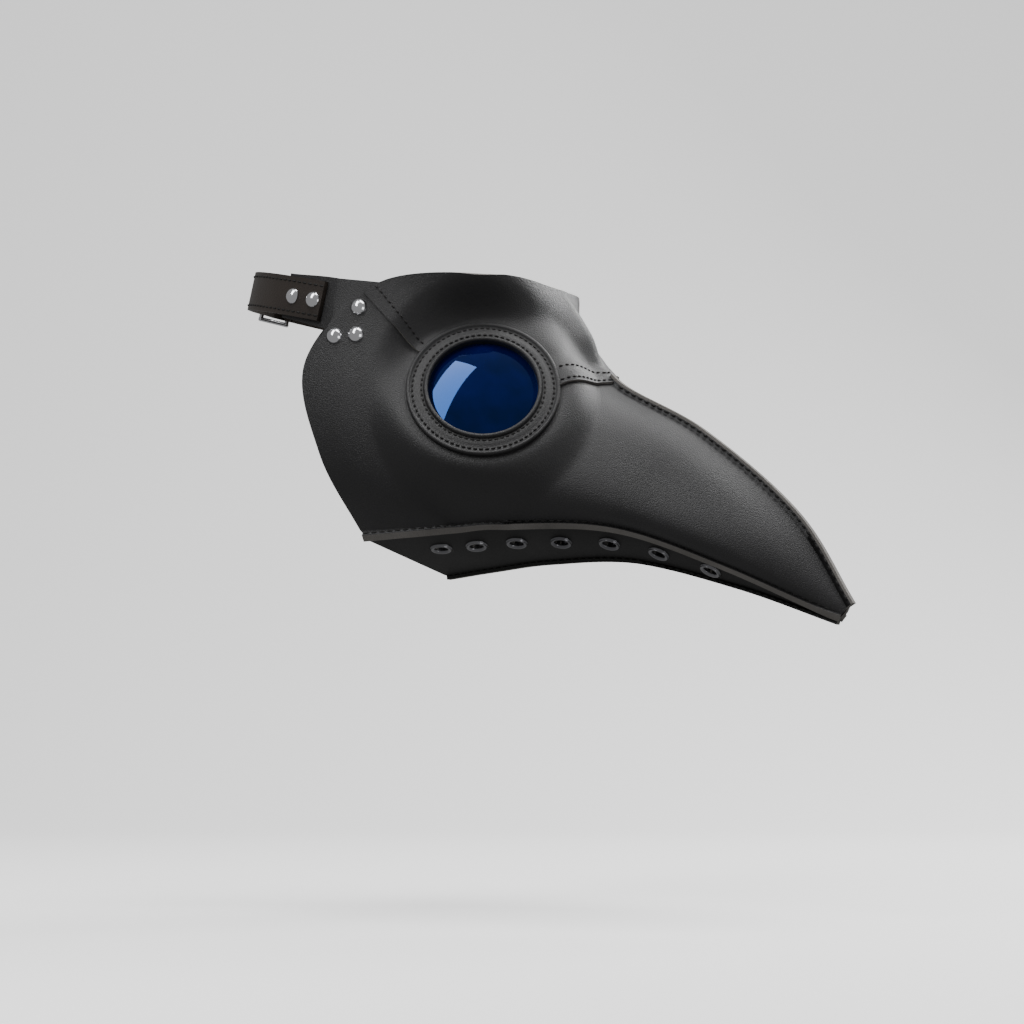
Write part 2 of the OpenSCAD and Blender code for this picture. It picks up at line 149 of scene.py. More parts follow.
def sheet_mesh(name, under, over, keep, materials, side=1, raw=None):
    """A mesh from two grids. keep says which cells are leather and raw which are cut edge.

    A side of -1 mirrors it.
    """
    under, over = np.asarray(under), np.asarray(over)
    rows, cols = under.shape[:2]
    points = np.concatenate([under.reshape(-1, 3), over.reshape(-1, 3)]) * MM
    points[:, 1] *= side
    m = rows * cols
    faces, rim = [], []

    def kept(i, j):
        return 0 <= i < rows - 1 and 0 <= j < cols - 1 and keep(i, j)

    for i in range(rows - 1):
        for j in range(cols - 1):
            if not keep(i, j):
                continue
            a, b, c, d = i * cols + j, i * cols + j + 1, (i + 1) * cols + j + 1, (i + 1) * cols + j
            faces += [(a, b, c, d), (m + a, m + d, m + c, m + b)]
            rim += [1, 1] if raw and raw(i, j) else [2, 0]
            for out, p, q in ((kept(i - 1, j), a, b), (kept(i, j + 1), b, c),
                              (kept(i + 1, j), c, d), (kept(i, j - 1), d, a)):
                if not out:
                    faces.append((p, m + p, m + q, q))
                    rim.append(1)
    mesh = bpy.data.meshes.new(name)
    mesh.from_pydata([tuple(p) for p in points], [], faces)
    for material in materials:
        mesh.materials.append(material)
    mesh.polygons.foreach_set("material_index", rim)
    bm = bmesh.new()
    bm.from_mesh(mesh)
    bmesh.ops.delete(bm, geom=[v for v in bm.verts if not v.link_faces], context="VERTS")
    bmesh.ops.recalc_face_normals(bm, faces=bm.faces)
    for face in bm.faces:
        face.smooth = face.material_index != 1
    for edge in bm.edges:
        edge.smooth = len({face.material_index for face in edge.link_faces}) == 1
    bm.to_mesh(mesh)
    bm.free()
    return mesh

# %% [markdown]
# Leather. Two shader groups are shared: pebble grain, which gives a height; and wear, a slow mottling. Each
# material keeps its own shader and decides what to do with those values.

# %% Shared shader groups
def group_tree(name, outputs):
    tree = bpy.data.node_groups.new(name, "ShaderNodeTree")
    tree.interface.new_socket("Vector", in_out="INPUT", socket_type="NodeSocketVector")
    scale = tree.interface.new_socket("Scale", in_out="INPUT", socket_type="NodeSocketFloat")
    scale.default_value = 1.0
    for out in outputs:
        tree.interface.new_socket(out, in_out="OUTPUT", socket_type="NodeSocketFloat")
    return tree, tree.nodes.new("NodeGroupInput"), tree.nodes.new("NodeGroupOutput")


def math_node(tree, operation, a, b):
    node = tree.nodes.new("ShaderNodeMath")
    node.operation = operation
    for socket, value in zip(node.inputs, (a, b)):
        if isinstance(value, (int, float)):
            socket.default_value = value
        else:
            tree.links.new(value, socket)
    return node.outputs[0]


def noise(tree, vector, scale, detail):
    node = tree.nodes.new("ShaderNodeTexNoise")
    node.inputs["Detail"].default_value = detail
    tree.links.new(vector, node.inputs["Vector"])
    if isinstance(scale, (int, float)):
        node.inputs["Scale"].default_value = scale
    else:
        tree.links.new(scale, node.inputs["Scale"])
    return node.outputs["Fac"]


def make_grain():
    tree, source, sink = group_tree("pebble grain", ["Height"])
    cells = tree.nodes.new("ShaderNodeTexVoronoi")
    cells.feature = "SMOOTH_F1"
    tree.links.new(source.outputs["Vector"], cells.inputs["Vector"])
    tree.links.new(source.outputs["Scale"], cells.inputs["Scale"])
    fine = noise(tree, source.outputs["Vector"], math_node(tree, "MULTIPLY", source.outputs["Scale"], 2.6), 3)
    height = math_node(tree, "ADD", math_node(tree, "MULTIPLY", cells.outputs["Distance"], -0.8),
                       math_node(tree, "MULTIPLY", fine, 0.5))
    tree.links.new(height, sink.inputs["Height"])
    return tree


def make_wear():
    tree, source, sink = group_tree("slow wear and lens glow", ["Mottle", "Scuff"])
    broad = noise(tree, source.outputs["Vector"], source.outputs["Scale"], 4)
    tight = noise(tree, source.outputs["Vector"], math_node(tree, "MULTIPLY", source.outputs["Scale"], 9), 6)
    tree.links.new(broad, sink.inputs["Mottle"])
    tree.links.new(math_node(tree, "MULTIPLY", broad, tight), sink.inputs["Scuff"])
    return tree


GRAIN, WEAR_AND_GLOW = make_grain(), make_wear()
print("shader groups:", GRAIN.name, "and", WEAR_AND_GLOW.name)

# %% Materials
def mixed(tree, factor, low, high):
    node = tree.nodes.new("ShaderNodeMix")
    node.data_type = "RGBA"
    tree.links.new(factor, node.inputs["Factor"])
    node.inputs["A"].default_value = (*low, 1)
    node.inputs["B"].default_value = (*high, 1)
    return node.outputs["Result"]


def spread(tree, value, low, high):
    node = tree.nodes.new("ShaderNodeMapRange")
    node.inputs["From Min"].default_value, node.inputs["From Max"].default_value = 0.3, 0.7
    node.inputs["To Min"].default_value, node.inputs["To Max"].default_value = low, high
    tree.links.new(value, node.inputs["Value"])
    return node.outputs["Result"]


def surface(name, dark, pale, rough, grain_scale, bump, metallic=0.0, shine=0.3, depth=0.0004):
    """A material with mottled colour, varied roughness and a bumped grain."""
    material = bpy.data.materials.new(name)
    material.use_nodes = True
    tree = material.node_tree
    shader = next(n for n in tree.nodes if n.type == "BSDF_PRINCIPLED")
    where = tree.nodes.new("ShaderNodeTexCoord").outputs["Object"]
    grain, wear = tree.nodes.new("ShaderNodeGroup"), tree.nodes.new("ShaderNodeGroup")
    grain.node_tree, wear.node_tree = GRAIN, WEAR_AND_GLOW
    grain.inputs["Scale"].default_value = grain_scale
    wear.inputs["Scale"].default_value = 22
    for node in (grain, wear):
        tree.links.new(where, node.inputs["Vector"])
    tree.links.new(mixed(tree, spread(tree, wear.outputs["Mottle"], 0, 1), dark, pale),
                   shader.inputs["Base Color"])
    tree.links.new(spread(tree, wear.outputs["Mottle"], rough - 0.04, rough + 0.06),
                   shader.inputs["Roughness"])
    raised = tree.nodes.new("ShaderNodeBump")
    raised.inputs["Strength"].default_value = bump
    raised.inputs["Distance"].default_value = depth
    tree.links.new(grain.outputs["Height"], raised.inputs["Height"])
    tree.links.new(raised.outputs["Normal"], shader.inputs["Normal"])
    shader.inputs["Metallic"].default_value = metallic
    shader.inputs["Specular IOR Level"].default_value = shine
    return material


SHELL = surface("shell leather", (0.008, 0.008, 0.0086), (0.014, 0.0135, 0.0145), 0.47, 1900, 0.5, shine=0.45)
# The throat leather is the shell's black leather given a darker base colour, which is painted shade under the
# beak.
SHADED_THROAT_LEATHER = surface("throat leather with painted shade", (0.003, 0.003, 0.003), (0.006, 0.0055, 0.0055), 0.6, 1900, 0.3)
RAW = surface("cut leather edge", (0.09, 0.085, 0.08), (0.19, 0.18, 0.17), 0.8, 1500, 0.7)
STRAP = surface("strap leather", (0.014, 0.011, 0.009), (0.030, 0.023, 0.019), 0.46, 900, 0.4)
LINING = surface("flesh side", (0.02, 0.016, 0.014), (0.045, 0.036, 0.03), 0.92, 1800, 0.6)
THREAD = surface("waxed thread", (0.006, 0.006, 0.006), (0.012, 0.011, 0.011), 0.6, 2500, 0.5)
CHROME = surface("chrome", (0.62, 0.62, 0.64), (0.72, 0.72, 0.74), 0.13, 600, 0.03, metallic=1.0)
GUNMETAL = surface("gunmetal", (0.12, 0.12, 0.13), (0.22, 0.22, 0.23), 0.3, 900, 0.1, metallic=1.0)
PLASTIC = surface("lens frame plastic", (0.01, 0.01, 0.01), (0.02, 0.02, 0.02), 0.5, 900, 0.2)
print("materials:", len(bpy.data.materials))

# %% [markdown]
# The panels. Grid lines are the same as in the solid model, split more finely so that the
# leather looks smooth. Each panel runs on past its seam into a turned-out lip.

# %% Fine grids
FINE = 4
ROWS, COLUMNS, THROAT_COLUMNS = 32 * FINE, 20 * FINE, 5 * FINE
FOREHEAD_ROW, FOREHEAD_COLUMN = 12 * FINE, 8 * FINE
SEAM_STAND, KEEL_STAND, LIP_WIDTH, CUT_BAND = 4.5, 3.5, 3.2, 1.3

side_skin = np.array([[side_at(i / ROWS, j / COLUMNS) for j in range(COLUMNS + 1)] for i in range(ROWS + 1)])
throat_skin = np.array([[throat_at(i / ROWS, j / THROAT_COLUMNS) for j in range(THROAT_COLUMNS + 1)]
                        for i in range(ROWS + 1)])


def grid_normals(skin):
    """Outward normals of a grid of points."""
    down, forward = np.gradient(skin, axis=1), np.gradient(skin, axis=0)
    n = np.cross(down, forward)
    return n / np.linalg.norm(n, axis=2, keepdims=True)


side_up, throat_up = grid_normals(side_skin), grid_normals(throat_skin)


def mitre(u, v):
    return (u + v) / max(0.5, 1 + u @ v)


def lip_out(i):
    return unit(side_up[i][-1] + throat_up[i][0])


def lip_up(i):
    return unit(side_up[i][-1] - throat_up[i][0])


def stand_out(line, i, sign):
    d = unit(line[min(len(line) - 1, i + 1)] - line[max(0, i - 1)])
    return sign * unit(np.array([-d[2], 0, d[0]]))


ridge_skin, keel_skin = side_skin[:, 0], throat_skin[:, -1]
print("side grid:", side_skin.shape[:2], "throat grid:", throat_skin.shape[:2])

# %% [markdown]
# The tongue is cut in one with the side panel. It runs back under the strap, on a half
# ellipse round the head that is tipped up a little towards the back.

# %% Tongue and strap line
HEAD_ROOM = 92.0
TONGUE_FIRST, TONGUE_LAST = 8 * FINE, 11 * FINE
TONGUE_HALF = 13.0
ANCHOR = side_at(0, (TONGUE_FIRST + TONGUE_LAST) / 2 / COLUMNS)
PITCH = math.radians(14)
STRAP_HALF = abs(ANCHOR[1])


def loop_at(degrees, out, z):
    """A point on the strap line, at an angle round the head from the right temple."""
    a = math.radians(degrees)
    x, y = -(HEAD_ROOM + out) * math.sin(a), -(STRAP_HALF + out) * math.cos(a)
    return np.array([ANCHOR[0] + x * math.cos(PITCH) + z * math.sin(PITCH), y,
                     ANCHOR[2] - x * math.sin(PITCH) + z * math.cos(PITCH)])


def tongue_row(degrees, out):
    steps = (np.arange(-2, COLUMNS + 2) - TONGUE_FIRST) / (TONGUE_LAST - TONGUE_FIRST)
    narrow = 1 - 0.12 * ease((degrees - 4) / 22)
    return [loop_at(degrees, out, TONGUE_HALF * narrow * (1 - 2 * s)) for s in steps]


TONGUE_ANGLES = np.linspace(26, 4, 34)
side_under = [tongue_row(a, 0) for a in TONGUE_ANGLES]
side_over = [tongue_row(a, LEATHER) for a in TONGUE_ANGLES]
for i in range(ROWS + 1):
    crest = ridge_skin[i] + SEAM_STAND * stand_out(ridge_skin, i, 1)
    band = ridge_skin[i] + (SEAM_STAND - CUT_BAND) * stand_out(ridge_skin, i, 1)
    lip = side_skin[i][-1] + LIP_WIDTH * lip_out(i)
    first = mitre(side_up[i][0], RIGHT) if i > FOREHEAD_ROW else side_up[i][0]
    over = side_skin[i] + LEATHER * side_up[i]
    over[0] = side_skin[i][0] + LEATHER * first
    over[-1] = side_skin[i][-1] + LEATHER * mitre(side_up[i][-1], lip_up(i))
    side_under.append([crest, band, *side_skin[i], lip])
    side_over.append([crest + LEATHER * RIGHT, band + LEATHER * RIGHT, *over, lip + LEATHER * lip_up(i)])
START = len(TONGUE_ANGLES)


def side_keep(i, j):
    """Which cells are side panel: tongue rows first, then all but the forehead and the eye."""
    if i < START:
        return TONGUE_FIRST < j - 1 <= TONGUE_LAST
    if j - 1 <= FOREHEAD_COLUMN and i - START < FOREHEAD_ROW:
        return False
    return eye_distance(side_skin[min(i - START, ROWS)][min(max(j - 2, 0), COLUMNS)])[1] > LENS_RADIUS + 3


for side, word in ((1, "right"), (-1, "left")):
    mesh = sheet_mesh(f"side_leather_{word}", side_under, side_over, side_keep, [SHELL, RAW, LINING],
                      side, lambda i, j: j == 0 and i >= START)
    panel = link(mesh, f"side_leather_{word}")
    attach(panel, "mask")
    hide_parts(f"side_panel_{word}")
print("side leather faces:", len(mesh.polygons))

# %% [markdown]
# The throat leather closes the beak from below. Its outer edge folds into a lip under the
# side panel, its inner edge stands down as the keel seam, and seven holes let air in.

# %% Throat leather with its seven holes
EYELETS = [(0.184 + 0.0965 * k, 0.36 + 0.022 * k) for k in range(7)]
EYELET_RADIUS, EYELET_BORE = 5.5, 3.25
eyelet_places = [(throat_at(t, f), normal_of(throat_at, t, f)) for t, f in EYELETS]
throat_under, throat_over = [], []
for i in range(ROWS + 1):
    lip = throat_skin[i][0] + LIP_WIDTH * lip_out(i)
    keel = keel_skin[i] + KEEL_STAND * stand_out(keel_skin, i, -1)
    over = throat_skin[i] + LEATHER * throat_up[i]
    over[0] = throat_skin[i][0] + LEATHER * mitre(throat_up[i][0], -lip_up(i))
    over[-1] = throat_skin[i][-1] + LEATHER * mitre(throat_up[i][-1], RIGHT)
    throat_under.append([lip, *throat_skin[i], keel])
    throat_over.append([lip - LEATHER * lip_up(i), *over, keel + LEATHER * RIGHT])


def throat_keep(i, j):
    """Leave out the cells that an eyelet bore passes through."""
    p = throat_skin[i][min(max(j - 1, 0), THROAT_COLUMNS)]
    return all(np.linalg.norm(p - place_) > EYELET_BORE + 0.6 for place_, _ in eyelet_places)


for side, word in ((1, "right"), (-1, "left")):
    mesh = sheet_mesh(f"throat_leather_{word}", throat_under, throat_over, throat_keep, [SHADED_THROAT_LEATHER, RAW, LINING],
                      side)
    panel = link(mesh, f"throat_leather_{word}")
    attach(panel, "mask")
    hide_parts(f"throat_panel_{word}")
print("throat leather with painted shade faces:", len(mesh.polygons))

# %% [markdown]
# The forehead piece is cut in one across the middle. It laps over the side panels by a few
# millimetres, so its edge stands proud along both temple seams and across the bridge.

# %% Forehead
LAP_COLUMNS, LAP_ROWS, LAP_RISE = 3, 3, 1.5


def brow_points(i, lift):
    """One row across the forehead, from the left temple over the middle to the right."""
    j_end = FOREHEAD_COLUMN + LAP_COLUMNS
    row = []
    for j in range(-j_end, j_end + 1):
        rise = LAP_RISE * max(ease((abs(j) - FOREHEAD_COLUMN + 8) / 8), ease((i - FOREHEAD_ROW + 8) / 8))
        up = side_up[i][abs(j)].copy()
        p = side_skin[i][abs(j)]
        if j == 0:
            up = unit(up * np.array([1, 0, 1]))
            p = p * np.array([1, 0, 1])
        p = p + up * (lift + rise)
        row.append(p if j >= 0 else p * np.array([1, -1, 1]))
    return row


def brow_keep(i, j):
    column = abs(j - FOREHEAD_COLUMN - LAP_COLUMNS)
    return eye_distance(side_skin[i][column])[1] > LENS_RADIUS + 3


brow_rows = range(FOREHEAD_ROW + LAP_ROWS + 1)
mesh = sheet_mesh("forehead_leather", [brow_points(i, 0) for i in brow_rows],
                  [brow_points(i, LEATHER) for i in brow_rows], brow_keep, [SHELL, RAW, LINING])
forehead = link(mesh, "forehead_leather")
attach(forehead, "mask")
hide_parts("forehead_panel")
print("forehead faces:", len(mesh.polygons))

# %% [markdown]
# Round things are turned from a profile: the stitched ring, the lens and the eyelets.

# %% Turned pieces
def frame_axes(axis):
    x = unit(np.cross([0, 0, 1], axis))
    return x, np.cross(axis, x)


def turned(name, profile, centre, axis, material, side=1, steps=128, closed=True):
    """Sweep a profile of (radius, height) points, in millimetres, round an axis."""
    x, y = frame_axes(axis)
    points, faces = [], []
    n = len(profile)
    for k in range(steps):
        a = 2 * math.pi * k / steps
        for r, h in profile:
            p = (centre + r * (x * math.cos(a) + y * math.sin(a)) + h * axis) * MM
            points.append((p[0], p[1] * side, p[2]))
        for m in range(n if closed else n - 1):
            a0, a1 = k * n + m, k * n + (m + 1) % n
            b0, b1 = (k + 1) % steps * n + m, (k + 1) % steps * n + (m + 1) % n
            faces.append((a0, b0, b1, a1))
    mesh = bpy.data.meshes.new(name)
    mesh.from_pydata(points, [], faces)
    mesh.materials.append(material)
    bm = bmesh.new()
    bm.from_mesh(mesh)
    bmesh.ops.remove_doubles(bm, verts=bm.verts, dist=1e-6)
    bmesh.ops.recalc_face_normals(bm, faces=bm.faces)
    for face in bm.faces:
        face.smooth = True
    for edge in bm.edges:
        if len(edge.link_faces) == 2 and edge.calc_face_angle(0) > 0.9:
            edge.smooth = False
    bm.to_mesh(mesh)
    bm.free()
    return mesh


def bead(centre, radius, start, end, steps=7):
    """Points on a small arc, for a rolled edge in a profile."""
    angles = np.radians(np.linspace(start, end, steps))
    return [(centre[0] + radius * math.cos(a), centre[1] + radius * math.sin(a)) for a in angles]


RING_PROFILE = [(LENS_RADIUS, LEATHER), (RING_RADIUS, LEATHER - 0.2),
                *bead((RING_RADIUS - 1.0, LEATHER + 1.7), 1.0, 0, 150),
                (RING_RADIUS - 2.6, LEATHER + 1.7), (RING_RADIUS - 5, LEATHER + 2.4),
                (LENS_RADIUS + 4.4, LEATHER + 2.8),
                (LENS_RADIUS + 2.4, LEATHER + 2.6), *bead((LENS_RADIUS + 1.1, LEATHER + 3.1), 1.1, 30, 180)]
LENS_DOME, LENS_RIM = 5.0, 2.6
dome = [((LENS_RADIUS - 0.3) * math.sin(a), LEATHER + LENS_DOME * (1 - (math.sin(a)) ** 2)) for a in
        np.linspace(0, math.pi / 2, 24)]
LENS_PROFILE = [(0, 0.6), (LENS_RADIUS + LENS_RIM, 0.6), (LENS_RADIUS + LENS_RIM, LEATHER - 0.1), *dome[::-1]]

# %% [markdown]
# The eye ring and the lens are turned about one axis, so they stay centred on each other.

# %% Lens glass
def lens_material():
    """Very dark blue glass with a blue tint in its highlights. Its base colour is mottled from near black to
    a brighter blue, and the brighter blue is painted light showing through the glass.
    """
    material = bpy.data.materials.new("lens glass")
    material.use_nodes = True
    tree = material.node_tree
    shader = next(n for n in tree.nodes if n.type == "BSDF_PRINCIPLED")
    where = tree.nodes.new("ShaderNodeTexCoord").outputs["Object"]
    wear = tree.nodes.new("ShaderNodeGroup")
    wear.node_tree = WEAR_AND_GLOW
    wear.inputs["Scale"].default_value = 26
    tree.links.new(where, wear.inputs["Vector"])
    # In the glass this mottle is painted light: the brighter blue patches of the base colour stand in for
    # light showing through the glass, and the near black is the glass's own dark blue.
    tint = mixed(tree, spread(tree, wear.outputs["Mottle"], -0.3, 1.1),
                 (0.0006, 0.0012, 0.006), (0.001, 0.003, 0.07))
    tree.links.new(tint, shader.inputs["Base Color"])
    tree.links.new(spread(tree, wear.outputs["Scuff"], 0.02, 0.05), shader.inputs["Roughness"])
    shader.inputs["Specular IOR Level"].default_value = 0.9
    shader.inputs["Specular Tint"].default_value = (0.12, 0.33, 1.0, 1)
    return material


GLASS = lens_material()
for side, word in ((1, "right"), (-1, "left")):
    for name, profile, material, slot, closed in (
            ("eye_ring_leather", RING_PROFILE, SHELL, "shell_leather", True),
            ("lens_dome", LENS_PROFILE, GLASS, "lens_glass", False)):
        piece = link(turned(f"{name}_{word}", profile, EYE_CENTRE, EYE_AXIS, material, side, closed=closed),
                     f"{name}_{word}")
        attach(piece, "mask")
        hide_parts(f"{'eye_ring' if slot == 'shell_leather' else 'lens'}_{word}")
print("eye ring profile points:", len(RING_PROFILE))

# %% [markdown]
# An eyelet is a short tube with a rolled flange. It stands square to the throat leather
# at each of the seven places.

# %% Eyelets
EYELET_PROFILE = [(EYELET_BORE, -1.2), (EYELET_BORE + 0.7, -1.2), (EYELET_BORE + 0.7, LEATHER - 0.6),
                  (EYELET_RADIUS, LEATHER - 0.6), *bead((EYELET_RADIUS - 0.5, LEATHER + 0.1), 0.5, 0, 70, 4),
                  *bead((EYELET_BORE + 1.3, LEATHER + 0.0), 1.3, 70, 180, 8)]
for side, word in ((1, "right"), (-1, "left")):
    parts = [turned("eyelet", EYELET_PROFILE, p, n, GUNMETAL, side, 48) for p, n in eyelet_places]
    bm = bmesh.new()
    for part in parts:
        bm.from_mesh(part)
    mesh = bpy.data.meshes.new(f"eyelets_{word}")
    bm.to_mesh(mesh)
    bm.free()
    mesh.materials.append(GUNMETAL)
    piece = link(mesh, f"eyelets_{word}")
    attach(piece, "mask")
    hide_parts(f"vent_eyelets_{word}")
print("eyelets a side:", len(eyelet_places))

# %% [markdown]
# Stitching is one geometry nodes tree used on every seam. It takes a line, cuts it to an
# even pitch, and lays a stitch along it at each step, sunk a little into the leather.

# %% Stitch tree
def stitch_tree():
    tree = bpy.data.node_groups.new("stitch run", "GeometryNodeTree")
    tree.interface.new_socket("Line", in_out="INPUT", socket_type="NodeSocketGeometry")
    for name, value in (("Pitch", 0.004), ("Length", 0.003), ("Thickness", 0.0009)):
        socket = tree.interface.new_socket(name, in_out="INPUT", socket_type="NodeSocketFloat")
        socket.default_value = value
    tree.interface.new_socket("Thread", in_out="INPUT", socket_type="NodeSocketMaterial")
    tree.interface.new_socket("Stitches", in_out="OUTPUT", socket_type="NodeSocketGeometry")
    source, sink = tree.nodes.new("NodeGroupInput"), tree.nodes.new("NodeGroupOutput")

    def node(kind, **settings):
        made = tree.nodes.new(kind)
        for key, value in settings.items():
            setattr(made, key, value)
        return made

    curve = node("GeometryNodeMeshToCurve")
    resample = node("GeometryNodeResampleCurve", mode="LENGTH")
    tangent = node("GeometryNodeInputTangent")
    turn = node("FunctionNodeAlignRotationToVector", axis="X")
    ball = node("GeometryNodeMeshUVSphere")
    ball.inputs["Segments"].default_value, ball.inputs["Rings"].default_value = 10, 7
    ball.inputs["Radius"].default_value = 0.5
    sizes = node("ShaderNodeCombineXYZ")
    shape = node("GeometryNodeInstanceOnPoints")
    realize, paint = node("GeometryNodeRealizeInstances"), node("GeometryNodeSetMaterial")
    smooth = node("GeometryNodeSetShadeSmooth")
    join = tree.links.new
    join(source.outputs["Line"], curve.inputs["Mesh"])
    join(curve.outputs["Curve"], resample.inputs["Curve"])
    join(source.outputs["Pitch"], resample.inputs["Length"])
    join(tangent.outputs["Tangent"], turn.inputs["Vector"])
    join(resample.outputs["Curve"], shape.inputs["Points"])
    join(ball.outputs["Mesh"], shape.inputs["Instance"])
    join(turn.outputs["Rotation"], shape.inputs["Rotation"])
    join(source.outputs["Length"], sizes.inputs["X"])
    join(source.outputs["Thickness"], sizes.inputs["Y"])
    join(source.outputs["Thickness"], sizes.inputs["Z"])
    join(sizes.outputs["Vector"], shape.inputs["Scale"])
    join(shape.outputs["Instances"], realize.inputs["Geometry"])
    join(realize.outputs["Geometry"], smooth.inputs["Geometry"])
    join(smooth.outputs["Geometry"], paint.inputs["Geometry"])
    join(source.outputs["Thread"], paint.inputs["Material"])
    join(paint.outputs["Geometry"], sink.inputs["Stitches"])
    return tree


STITCH = stitch_tree()
SOCKETS = {item.name: item.identifier for item in STITCH.interface.items_tree if item.in_out == "INPUT"}


def stitch(name, lines, pitch=4.0, length=3.0, thickness=0.95, body="mask"):
    """Stitches along lines of points in millimetres; returns the finished piece."""
    points, edges = [], []
    for line in lines:
        first = len(points)
        points += [tuple(np.asarray(p) * MM) for p in line]
        edges += [(first + k, first + k + 1) for k in range(len(line) - 1)]
    mesh = bpy.data.meshes.new(name + "_line")
    mesh.from_pydata(points, edges, [])
    line_obj = link(mesh, name + "_line")
    modifier = line_obj.modifiers.new("stitches", "NODES")
    modifier.node_group = STITCH
    for key, value in (("Pitch", pitch * MM), ("Length", length * MM),
                       ("Thickness", thickness * MM), ("Thread", THREAD)):
        modifier[SOCKETS[key]] = value
    graph = bpy.context.evaluated_depsgraph_get()
    done = bpy.data.meshes.new_from_object(line_obj.evaluated_get(graph))
    bpy.data.objects.remove(line_obj)
    piece = link(done, name)
    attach(piece, body)
    return piece


print("stitch inputs:", list(SOCKETS))

# %% [markdown]
# Where the stitches run: both faces of the ridge and keel, the throat seams, one row down
# each temple seam, two across the bridge, and two round each eye.

# %% Stitch lines
def flip(line):
    return [np.array([p[0], -p[1], p[2]]) for p in line]


def both(line):
    return [line, flip(line)]


SINK = 0.1
ridge_rows = range(FOREHEAD_ROW + 6, ROWS - 1)
ridge_line = [ridge_skin[i] + (SEAM_STAND - 1.9) * stand_out(ridge_skin, i, 1) + (LEATHER + SINK) * RIGHT
              for i in ridge_rows]
keel_line = [keel_skin[i] + (KEEL_STAND - 1.4) * stand_out(keel_skin, i, -1) + (LEATHER + SINK) * RIGHT
             for i in range(2, ROWS - 2)]
lip_line = [side_skin[i][-1] + 1.7 * lip_out(i) + (LEATHER + SINK) * lip_up(i) for i in range(2, ROWS - 2)]
lip_below = [side_skin[i][-1] + 1.7 * lip_out(i) - (LEATHER + SINK) * lip_up(i) for i in range(2, ROWS - 2)]


def clear_of_eye(line):
    return [p for p in line if eye_distance(np.array([p[0], -abs(p[1]), p[2]]))[1] > RING_RADIUS + 1.5]


def brow_top(i, column):
    points = brow_points(i, LEATHER + SINK)
    return points[column + FOREHEAD_COLUMN + LAP_COLUMNS]


temple_line = clear_of_eye([brow_top(i, FOREHEAD_COLUMN + 1) for i in range(1, FOREHEAD_ROW)])
bridge_lines = []
for row in (FOREHEAD_ROW + 2, FOREHEAD_ROW - 2):
    bridge_lines.append(clear_of_eye([brow_top(row, j) for j in range(-1, FOREHEAD_COLUMN)]))
top_line = [brow_top(1, j) for j in range(-FOREHEAD_COLUMN, FOREHEAD_COLUMN + 1)]


def ring_line(radius, height):
    x, y = frame_axes(EYE_AXIS)
    turns = np.linspace(0, 2 * math.pi, 121)
    return [EYE_CENTRE + radius * (x * math.cos(a) + y * math.sin(a)) + height * EYE_AXIS for a in turns]


stitch("ridge_stitching", both(ridge_line), thickness=1.3)
stitch("keel_stitching", both(keel_line))
stitch("throat_seam_stitching", both(lip_line) + both(lip_below))
stitch("temple_seam_stitching", both(temple_line), pitch=3.2, length=2.3, thickness=1.0)
stitch("bridge_stitching", both(bridge_lines[0]) + both(bridge_lines[1]),
       pitch=3.2, length=2.3, thickness=1.0)
stitch("eye_ring_stitching", both(ring_line(RING_RADIUS - 3.2, LEATHER + 1.95))
       + both(ring_line(LENS_RADIUS + 3.4, LEATHER + 2.75)), pitch=2.9, length=2.1, thickness=1.05)
print("stitched seams: ridge, keel, throat, temple, bridge, eyes")

# %% [markdown]
# Strap, buckle, rivets and inside pieces keep the solid model's shape. They get rounded
# edges, smooth shading and their own materials.

# %% Pieces kept from the solid model
KEPT = {"strap_right": (STRAP, 0.5), "strap_left": (STRAP, 0.5), "strap_keeper": (STRAP, 0.4),
        "buckle_frame": (CHROME, 0.15), "buckle_prong": (CHROME, 0.1),
        "temple_rivets_right": (CHROME, 0.1), "temple_rivets_left": (CHROME, 0.1),
        "strap_rivets_right": (CHROME, 0.1), "strap_rivets_left": (CHROME, 0.1),
        "temple_backing_right": (LINING, 0.3), "temple_backing_left": (LINING, 0.3),
        "lens_frame_right": (PLASTIC, 0.2), "lens_frame_left": (PLASTIC, 0.2),
        "vent_washers_right": (GUNMETAL, 0.1), "vent_washers_left": (GUNMETAL, 0.1)}
for name, (material, edge) in KEPT.items():
    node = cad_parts[name]
    node.data.materials.clear()
    node.data.materials.append(material)
    bevel = node.modifiers.new("rounded edges", "BEVEL")
    bevel.width = edge * MM
    bevel.segments = 2
    bevel.limit_method = "ANGLE"
    bevel.angle_limit = math.radians(50)
    bevel.harden_normals = False
    for face in node.data.polygons:
        face.use_smooth = True
    weld = node.modifiers.new("even shading", "WEIGHTED_NORMAL")
    weld.keep_sharp = True
print("pieces kept:", len(KEPT))

# %% [markdown]
# Two rows of stitches follow each strap, one near each edge.

# %% Strap stitching
STRAP_EDGE = 7.6


def strap_line(start, end, z, side=1):
    line = [loop_at(a, LEATHER + 2.6 + SINK, z) for a in np.arange(start, end, 1.0)]
    return line if side == 1 else flip(line)


stitch("strap_stitching", [strap_line(9, 84, z) for z in (STRAP_EDGE, -STRAP_EDGE)]
       + [strap_line(9, 48, z, -1) for z in (STRAP_EDGE, -STRAP_EDGE)])
print("strap stitched")

# %% [markdown]
# A pale studio: one curved sweep for floor and wall, a big soft light above and in front,
# a tall softbox that the lens mirrors as a pale crescent, and a light behind for the edges.

